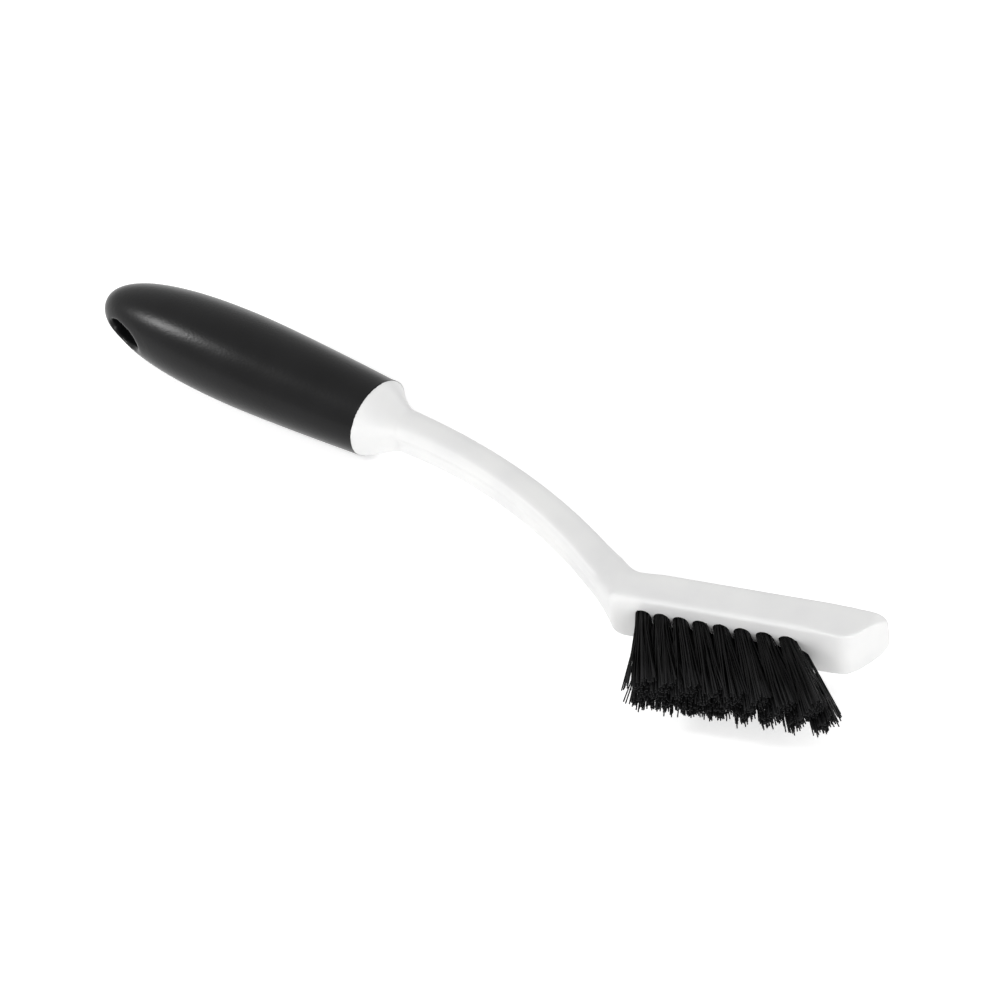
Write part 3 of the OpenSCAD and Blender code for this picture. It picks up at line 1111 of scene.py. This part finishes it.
@dataclass
class Grip:
    """Black rubber grip over the tang, with the hanging hole through its tail.

    The hole is round in the middle and opens into an oval mouth on each side.
    """

    line: GripLine
    tang: Tang
    finish: MouldedRubber
    hole_d: float = 7.0
    # Half the mouth's length and width, how far from the grip's middle it starts and the
    # distance over which it opens to its full size
    mouth: tuple[float, float] = (5.3, 3.6)
    mouth_start: float = 3.4
    mouth_slope: float = 2.0
    # How far from the lips the smoothing reaches, and over how much of that it fades
    lip_reach: float = 3.4
    lip_fade: float = 1.2
    # The grip's sections: in front of the rim, then a step apart, then closer toward the tail
    overrun: float = 4.0
    step: float = 1.2
    steps: int = 35
    tail_start: float = 43.0
    tail_end: float = 88.87
    tail_steps: int = 60
    ring_points: int = 120
    # The hole's tool: how far it reaches from the grip's middle, and its points
    tool_reach: float = 30.0
    hole_points: int = 96
    # Rounds of smoothing that round the whole grip and the hole's lips
    edge_rounds: int = 5
    lip_rounds: int = 70
    grid: float = 0.36

    def build(self) -> bpy.types.Object:
        """Build the grip."""
        lay = self.line.layout
        stations = [-self.overrun] + [self.step * k for k in range(1, self.steps + 1)]
        stations += self.line.stations(self.tail_start, self.tail_end, self.tail_steps)
        rings = [lay.about_axis(b, self.line.radius(b), self.ring_points) for b in stations]
        piece = drawn_through("rubber_grip", rings)
        heights = (self.mouth_start, self.mouth_start + self.mouth_slope, self.tool_reach)
        levels = [-y for y in reversed(heights)] + list(heights)
        combine(piece, drawn_through("bore", [self.hole_ring(y) for y in levels]), "DIFFERENCE")
        soften(piece, self.grid, self.edge_rounds)
        soften_near(piece, self.near_lip, self.lip_rounds)
        cut_square(piece, lay.rim_centre, lay.rim_normal)
        combine(piece, self.tang.mesh(), "DIFFERENCE")
        piece.name = "rubber_grip"
        dress(piece, self.finish.material(), "grip")
        return piece

    def hole_ring(self, y: float) -> list[Vector]:
        """Give the hole's section at a height along its axis."""
        r = self.hole_d / 2
        half_x, half_z = (r, r) if abs(y) <= self.mouth_start else self.mouth
        turns = (2 * math.pi * k / self.hole_points for k in range(self.hole_points))
        return [Vector((half_x * math.cos(a), y, half_z * math.sin(a))) for a in turns]

    def near_lip(self, point: Vector) -> float:
        """Give how far a point belongs to the soft lips of the hanging hole."""
        lay = self.line.layout
        behind = lay.hole_to_rim - point.dot(along(lay.handle_tilt))
        depth = self.line.radius(behind) - math.hypot(point.dot(across(lay.handle_tilt)), point.z)
        half_x, half_z = self.mouth
        out = (math.hypot(point.x / half_x, point.z / half_z) - 1) * half_z
        away = max(abs(out), depth)
        return min(1.0, max(0.0, (self.lip_reach - away) / self.lip_fade))


class Row(Enum):
    """The two rows of tufts, by the side of the head's middle on which they stand."""

    UPPER = 1
    LOWER = -1


@dataclass
class TuftField:
    """Sixteen tufts of folded filament in two staggered rows, with their holes and anchors."""

    layout: Layout
    moulding: Moulding
    finish: NylonFilament
    tufts: int = 16
    heel_to_tuft: float = 8.55
    tuft_to_nose: float = 12.4
    gather: float = 0.13
    row_gap: float = 4.4
    hole_d: float = 3.8
    hole_depth: float = 6.5
    clearance: float = 0.05
    tuft_len: float = 23.3
    heel_lean: dict[Row, float] = field(default_factory=lambda: {Row.UPPER: 18.0, Row.LOWER: 10.0})
    toe_lean: float = 32.0
    row_splay: float = 0.7
    # Depth at which the filaments' common root ends, and how far they reach into it
    root_recess: float = 1.7
    root_sink: float = 0.6
    filaments: int = 110
    filament_r: float = 0.18
    filament_sides: int = 5
    filament_levels: tuple[float, ...] = (0.0, 0.25, 0.5, 0.75, 1.0)
    # Radius of a tuft in its hole, and half its width at the tips, along and across the row
    bundle_r: float = 1.68
    spread: tuple[float, float] = (3.5, 2.5)
    # Below 1, the filaments spread faster near the head than near their tips
    spread_power: float = 0.95
    # How far a tip strays, and the share of filaments that end somewhere else in the tuft
    stray: float = 0.75
    loose: float = 0.35
    # Filaments at the heel that stand out backwards: in how many tufts, how many and how far
    wild_tufts: int = 2
    wild: int = 6
    wild_reach: tuple[float, float] = (3.0, 6.0)
    # Most that a filament is too short, and how far the tips are trimmed along the bristle
    # face's line: not at 0, fully at 1
    uneven: float = 1.1
    trim: float = 0.5
    # Lowest place of a tip along Y, just inside where the solids end
    lowest: float = -95.6
    # Steps around a hole and around the root in it, and how far a hole's tool stands out
    hole_steps: int = 48
    root_steps: int = 24
    tool_margin: float = 1.0
    # An anchor's thickness, length and height, and where its middle is along the tuft
    anchor_size: tuple[float, float, float] = (0.35, 4.3, 1.8)
    anchor_height: float = -4.8
    seed: int = 5

    def row(self, i: int) -> Row:
        """Give the row of a tuft: odd ones are in the upper row, even ones in the lower."""
        return Row.UPPER if i % 2 else Row.LOWER

    def toe_share(self, i: int) -> float:
        """Give a tuft's place from the heel's at 0 to the toe's at 1."""
        return (i - 1) / (self.tufts - 1)

    def lean(self, i: int) -> float:
        """Give a tuft's lean toward the toe, in degrees."""
        first = self.heel_lean[self.row(i)]
        return first + (self.toe_lean - first) * self.toe_share(i)

    def frame(self, i: int) -> Matrix:
        """Give a tuft's own frame: Z leaves the head along the tuft and Y is the brush's Z."""
        last = self.moulding.nose_start - self.tuft_to_nose
        share = self.toe_share(i)
        x = self.heel_to_tuft + (last - self.heel_to_tuft) * share * (1 - self.gather * (1 - share))
        foot = self.layout.heel + Vector((x, 0, self.row(i).value * self.row_gap / 2))
        leant = Matrix.Rotation(math.radians(self.lean(i)), 4, "Z")
        return Matrix.Translation(foot) @ (leant @ Matrix.Rotation(math.radians(90), 4, "X"))

    def rod(self, i: int, low: float, high: float, radius: float, steps: int) -> bpy.types.Object:
        """Model a round rod on a tuft's axis.

        Args:
            i: Number of the tuft.
            low: Height at which the rod starts.
            high: Height at which it ends.
            radius: Radius of the rod.
            steps: Points around it.

        Returns:
            The rod.
        """
        turns = (2 * math.pi * k / steps for k in range(steps))
        ring = [Vector((math.cos(a), math.sin(a), 0)) * radius for a in turns]
        place = self.frame(i)
        rings = [[place @ (p + Vector((0, 0, h))) for p in ring] for h in (low, high)]
        return drawn_through("rod", rings)

    def holes(self) -> bpy.types.Object:
        """Model the tool that cuts all the tuft holes."""
        rods = []
        for i in range(1, self.tufts + 1):
            mouth = self.hole_d / 2 * math.tan(math.radians(self.lean(i))) + self.tool_margin
            rods.append(self.rod(i, -self.hole_depth, mouth, self.hole_d / 2, self.hole_steps))
        return join(rods, "tuft_holes")

    def slot(self, i: int) -> bpy.types.Object:
        """Model a tool with the shape of one anchor."""
        x, y, z = (size / 2 for size in self.anchor_size)
        outline = [(-x, -y), (x, -y), (x, y), (-x, y)]
        place = self.frame(i)
        ends = (self.anchor_height - z, self.anchor_height + z)
        rings = [[place @ Vector((u, v, h)) for u, v in outline] for h in ends]
        return drawn_through("slot", rings)

    def slots(self) -> bpy.types.Object:
        """Model the tool that cuts the anchors' slots."""
        return join([self.slot(i) for i in range(1, self.tufts + 1)], "anchor_slots")

    def filament(self) -> bpy.types.Object:
        """Model one filament, 1 mm long, with a few sides and a square-cut end."""
        turns = [2 * math.pi * k / self.filament_sides for k in range(self.filament_sides)]
        ring = [Vector((math.cos(a), math.sin(a), 0)) * self.filament_r for a in turns]
        rings = [[p + Vector((0, 0, h)) for p in ring] for h in self.filament_levels]
        return drawn_through("filament", rings)

    def path(self, root: Vector, tip: Vector, share: float) -> Vector:
        """Give the point of a filament's line at a share of its length.

        Args:
            root: Where the filament starts, in its tuft's frame.
            tip: Where it ends.
            share: Share of its length.

        Returns:
            The point in the tuft's frame.
        """
        out = share**self.spread_power
        return Vector([a + (b - a) * c for a, b, c in zip(root, tip, (out, out, share))])

    def build_tuft(
        self, i: int, pattern: bpy.types.Mesh, material: bpy.types.Material
    ) -> bpy.types.Object:
        """Build one tuft: its filaments and their folded root in the hole.

        Args:
            i: Number of the tuft.
            pattern: Mesh of one filament.
            material: Material of the filaments.

        Returns:
            The finished piece.
        """
        rng = random.Random(self.seed * 100 + i)
        place = self.frame(i)
        root_z = -self.root_recess - self.root_sink
        lean_out = self.row(i).value * self.row_splay * (1 - self.toe_share(i))
        slope = math.tan(math.radians(self.lean(i))) * self.trim
        tip_level = (self.filament_levels[-2] + self.filament_levels[-1]) / 2
        mesh = bmesh.new()
        shade = mesh.verts.layers.float.new("shade")
        cut_end = mesh.verts.layers.float.new("cut_end")
        for k in range(self.filaments):
            # The filaments are packed evenly in their hole, as seeds are in a sunflower
            ring = math.sqrt((k + 0.5) / self.filaments)
            turn = k * math.pi * (3 - math.sqrt(5))
            x, y = ring * math.cos(turn), ring * math.sin(turn)
            root = Vector((x * self.bundle_r, y * self.bundle_r, root_z))
            if rng.random() < self.loose:
                turn, ring = rng.uniform(0, 2 * math.pi), math.sqrt(rng.random())
                x, y = ring * math.cos(turn), ring * math.sin(turn)
            tip_x = x * self.spread[0] + rng.gauss(0, 1) * self.stray
            tip_y = y * self.spread[1] + lean_out + rng.gauss(0, 1) * self.stray
            if i <= self.wild_tufts and k < self.wild:
                tip_x = -rng.uniform(*self.wild_reach)
            length = self.tuft_len - tip_x * slope - rng.random() ** 2 * self.uneven
            tip = Vector((tip_x, tip_y, length))
            tip.z += min(0.0, (place @ tip).y - self.lowest) / math.cos(math.radians(self.lean(i)))
            tone = rng.random() ** 3
            first = len(mesh.verts)
            mesh.from_mesh(pattern)
            mesh.verts.ensure_lookup_table()
            for point in mesh.verts[first:]:
                side = Vector((point.co.x, point.co.y, 0)) / MM
                share = point.co.z / MM
                point.co = (place @ (self.path(root, tip, share) + side)) * MM
                point[shade] = tone
                point[cut_end] = float(share > tip_level)
        data = bpy.data.meshes.new(f"tuft_{i:02d}_filaments")
        mesh.to_mesh(data)
        mesh.free()
        strands = bpy.data.objects.new(data.name, data)
        bpy.context.scene.collection.objects.link(strands)
        plug_r = self.hole_d / 2 - self.clearance
        plug = self.rod(i, -self.hole_depth, -self.root_recess, plug_r, self.root_steps)
        combine(plug, self.slot(i), "DIFFERENCE")
        tuft = join([strands, plug], f"bristle_tuft_{i:02d}")
        dress(tuft, material, f"tuft_{i:02d}")
        return tuft

    def build(self) -> list[bpy.types.Object]:
        """Build all the tufts."""
        material = self.finish.material()
        pattern = self.filament()
        tufts = [self.build_tuft(i, pattern.data, material) for i in range(1, self.tufts + 1)]
        bpy.data.objects.remove(pattern)
        return tufts


@dataclass
class Anchors:
    """Flat wires across the tufts' folds, which keep their CAD shape."""

    finish: BrassedWire

    def build(self, node: bpy.types.Object) -> None:
        """Give the anchors their finish.

        Args:
            node: CAD node of the anchors.
        """
        node.data.materials.clear()
        node.data.materials.append(self.finish.material())
        LOG.info("anchors keep their CAD shape: %d faces", len(node.data.polygons))


# Studio


class Side(Enum):
    """Soft boxes of the studio, by where they stand about the brush."""

    TAIL = "tail"
    TOE = "toe"
    BACK = "back"


@dataclass(frozen=True)
class SoftBox:
    """A rectangular soft lamp that looks at the brush: its place in degrees and metres."""

    side: Side
    azimuth: float
    elevation: float
    distance: float
    size: tuple[float, float]
    watts: float

    def place(self, target: Vector) -> bpy.types.Object:
        """Put the lamp in the scene.

        Args:
            target: Point that it looks at, in metres.

        Returns:
            The lamp.
        """
        a, e = math.radians(self.azimuth), math.radians(self.elevation)
        way = Vector((math.sin(a) * math.cos(e), -math.cos(a) * math.cos(e), math.sin(e)))
        data = bpy.data.lights.new(f"soft_box_{self.side.value}", "AREA")
        data.shape = "RECTANGLE"
        data.size, data.size_y = self.size
        data.energy = self.watts
        lamp = bpy.data.objects.new(data.name, data)
        lamp.location = target + way * self.distance
        lamp.rotation_mode = "QUATERNION"
        lamp.rotation_quaternion = (-way).to_track_quat("-Z", "Y")
        bpy.context.scene.collection.objects.link(lamp)
        return lamp


@dataclass
class Studio:
    """White paper floor, soft boxes, even white surroundings and the camera."""

    # The floor lies just under the brush, in millimetres. Its half width is in metres.
    floor_z: float = -12.66
    floor_half: float = 4.0
    # Strength of the surroundings as light on the brush. They show at full strength.
    world_light: float = 0.48
    boxes: tuple[SoftBox, ...] = (
        SoftBox(Side.TAIL, -78.0, 33.0, 0.9, (0.1, 0.18), 3.1),
        SoftBox(Side.TOE, 30.0, 12.0, 0.9, (0.7, 0.5), 5.5),
        SoftBox(Side.BACK, 150.0, 30.0, 0.9, (0.7, 0.2), 2.2),
    )
    # The camera's place and directions, fitted to the brush's outline in the photograph
    eye: Vector = field(default_factory=lambda: Vector((412.66, -680.11, 804.63)))
    right: Vector = field(default_factory=lambda: Vector((0.94684, 0.30306, -0.10790)))
    up: Vector = field(default_factory=lambda: Vector((-0.16376, 0.74277, 0.64922)))
    back: Vector = field(default_factory=lambda: Vector((0.27690, -0.59704, 0.75291)))
    lens: float = 151.2
    sensor: float = 36.0
    clip: tuple[float, float] = (0.05, 20.0)

    def floor(self) -> None:
        """Lay the floor."""
        bpy.ops.object.select_all(action="DESELECT")
        spot = (0, 0, self.floor_z * MM)
        bpy.ops.mesh.primitive_plane_add(size=2 * self.floor_half, location=spot)
        bpy.ops.object.transform_apply(location=True, rotation=True, scale=True)
        floor = bpy.context.object
        floor.name = "floor"
        floor.data.materials.append(PaperSweep().material())
        floor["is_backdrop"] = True

    def world(self) -> None:
        """Surround the brush with soft white light, which shows as white."""
        world = bpy.data.worlds.new("white_surroundings")
        bpy.context.scene.world = world
        world.use_nodes = True
        tree = world.node_tree
        tree.nodes.clear()
        strength = add_node(
            tree,
            "ShaderNodeMapRange",
            {"To Min": self.world_light, "To Max": 1.0},
            {"Value": shown_directly(tree)},
        )
        light = add_node(
            tree,
            "ShaderNodeBackground",
            {"Color": (1, 1, 1, 1)},
            {"Strength": strength.outputs["Result"]},
        )
        add_node(tree, "ShaderNodeOutputWorld", links={"Surface": light.outputs["Background"]})

    def camera(self) -> None:
        """Place the camera at the photograph's angle."""
        data = bpy.data.cameras.new("camera")
        data.lens = self.lens
        data.sensor_width = self.sensor
        data.clip_start, data.clip_end = self.clip
        camera = bpy.data.objects.new("camera", data)
        turn = Matrix((self.right, self.up, self.back)).transposed().to_4x4()
        camera.matrix_world = Matrix.Translation(self.eye * MM) @ turn
        bpy.context.scene.collection.objects.link(camera)
        bpy.context.scene.camera = camera

    def build(self, target: Vector) -> None:
        """Set up the studio around the brush.

        Args:
            target: Middle of the brush, in metres.
        """
        self.floor()
        self.world()
        for box in self.boxes:
            box.place(target)
        self.camera()
        bpy.context.scene.view_settings.view_transform = "Standard"


def corners(box: Iterable[Vector]) -> list[list[float]]:
    """Turn a box's two corners into plain lists."""
    return [list(corner) for corner in box]


def main(frame: dict) -> None:
    """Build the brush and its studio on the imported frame.
    """
    logging.basicConfig(level=logging.INFO, format="%(name)s: %(message)s")
    cad_box = corners(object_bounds())
    low, high = (Vector(corner) for corner in cad_box)
    layout = Layout()
    line = GripLine(layout)
    tang = Tang(line)
    moulding = Moulding(layout, tang, MouldedPolypropylene())
    tufts = TuftField(layout, moulding, NylonFilament())
    moulding.build(tufts.holes(), tufts.slots())
    Grip(line, tang, MouldedRubber()).build()
    tufts.build()
    Anchors(BrassedWire()).build(frame["nodes"]["anchors"])
    Studio().build((low + high) / 2)
    {"cad": cad_box, "visual": corners(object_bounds())}


if __name__ == "__main__":
    main(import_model())
